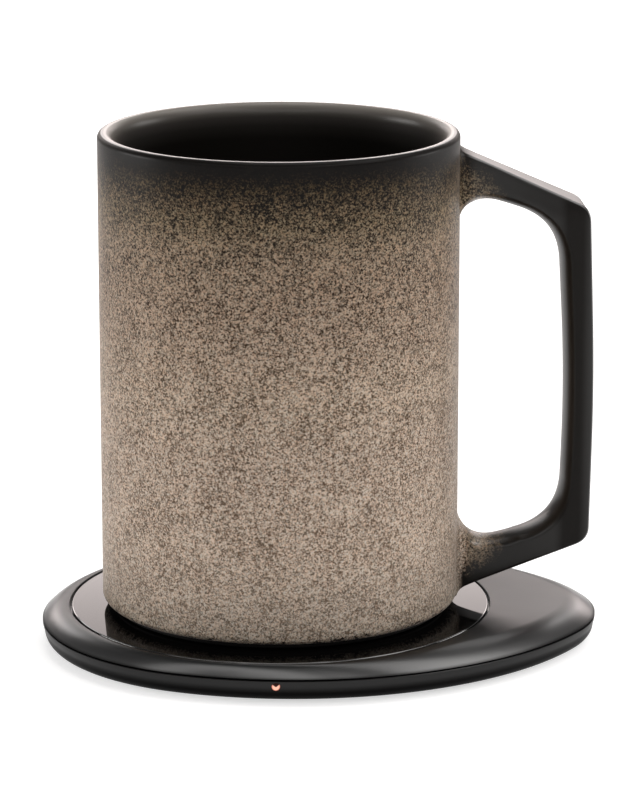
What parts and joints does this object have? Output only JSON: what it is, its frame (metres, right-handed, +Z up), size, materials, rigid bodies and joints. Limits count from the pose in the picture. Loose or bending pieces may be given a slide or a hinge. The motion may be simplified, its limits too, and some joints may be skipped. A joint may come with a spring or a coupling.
{
  "type": "self heating mug",
  "caption": "Straight-sided ceramic mug with an angular D-section handle, heated without contact by the flat egg-shaped coaster it stands on.",
  "frame": {"origin": "centre of the mug's axis on the table, in the underside of the coaster's silicone mat", "axes": "+Z up along the mug's axis; +X along the coaster's long axis towards its narrow end and along the mug's handle; +Y to the back, where the power inlet is"},
  "size_m": [0.1253, 0.0998, 0.1167],
  "materials": {
    "stoneware": "matt reactive glaze, speckled sand over dark brown, fading to black at rim and handle",
    "black_plastic": "fine satin soft-touch black",
    "gloss_black": "polished glossy black sheet",
    "tape_white": "double-sided tape",
    "silicone_black": "matt silicone",
    "copper": "enamelled copper wire",
    "ferrite": "sintered ferrite, matt",
    "aluminium": "plain rolled sheet",
    "board_green": "solder mask over glass-fibre board",
    "chip_black": "moulded epoxy package",
    "ceramic_tan": "ceramic capacitor body",
    "steel": "plain stainless sheet and wire",
    "clear_plastic": "clear light pipe, lit orange-red",
    "led_white": "white diode package",
    "felt_grey": "needled glass-fibre felt",
    "pad_blue": "soft thermal pad"
  },
  "bodies": {
    "coaster": {"upper_housing": "black_plastic", "lower_housing": "black_plastic", "top_plate": "gloss_black", "plate_tape": "tape_white", "slip_mat": "silicone_black", "transmitter_coil": "copper", "transmitter_ferrite": "ferrite", "coil_shield": "aluminium", "coil_sensor": "chip_black", "driver_board": "board_green", "control_chip": "chip_black", "power_inductor": "ferrite", "resonant_capacitor_1": "ceramic_tan", "resonant_capacitor_2": "ceramic_tan", "resonant_capacitor_3": "ceramic_tan", "resonant_capacitor_4": "ceramic_tan", "power_switch_1": "chip_black", "power_switch_2": "chip_black", "power_switch_3": "chip_black", "power_switch_4": "chip_black", "inlet_shell": "steel", "inlet_tongue": "chip_black", "light_pipe": "clear_plastic", "indicator_led": "led_white", "housing_screw_1": "steel", "housing_screw_2": "steel", "housing_screw_3": "steel", "housing_screw_4": "steel"},
    "mug": {"mug_body": "stoneware", "base_cover": "black_plastic", "base_seal": "silicone_black", "receiver_coil": "copper", "receiver_ferrite": "ferrite", "receiver_board": "board_green", "rectifier_chip_1": "chip_black", "rectifier_chip_2": "chip_black", "rectifier_chip_3": "chip_black", "rectifier_chip_4": "chip_black", "insulation_felt": "felt_grey", "heater_track": "steel", "heater_plate": "aluminium", "temperature_bead": "chip_black", "thermal_pad": "pad_blue"}
  },
  "joints": [
    {"name": "mug_lift", "type": "slide", "parent": "coaster", "child": "mug", "axis": [0, 0, 1], "range_m": [0, 0.15]}
  ]
}
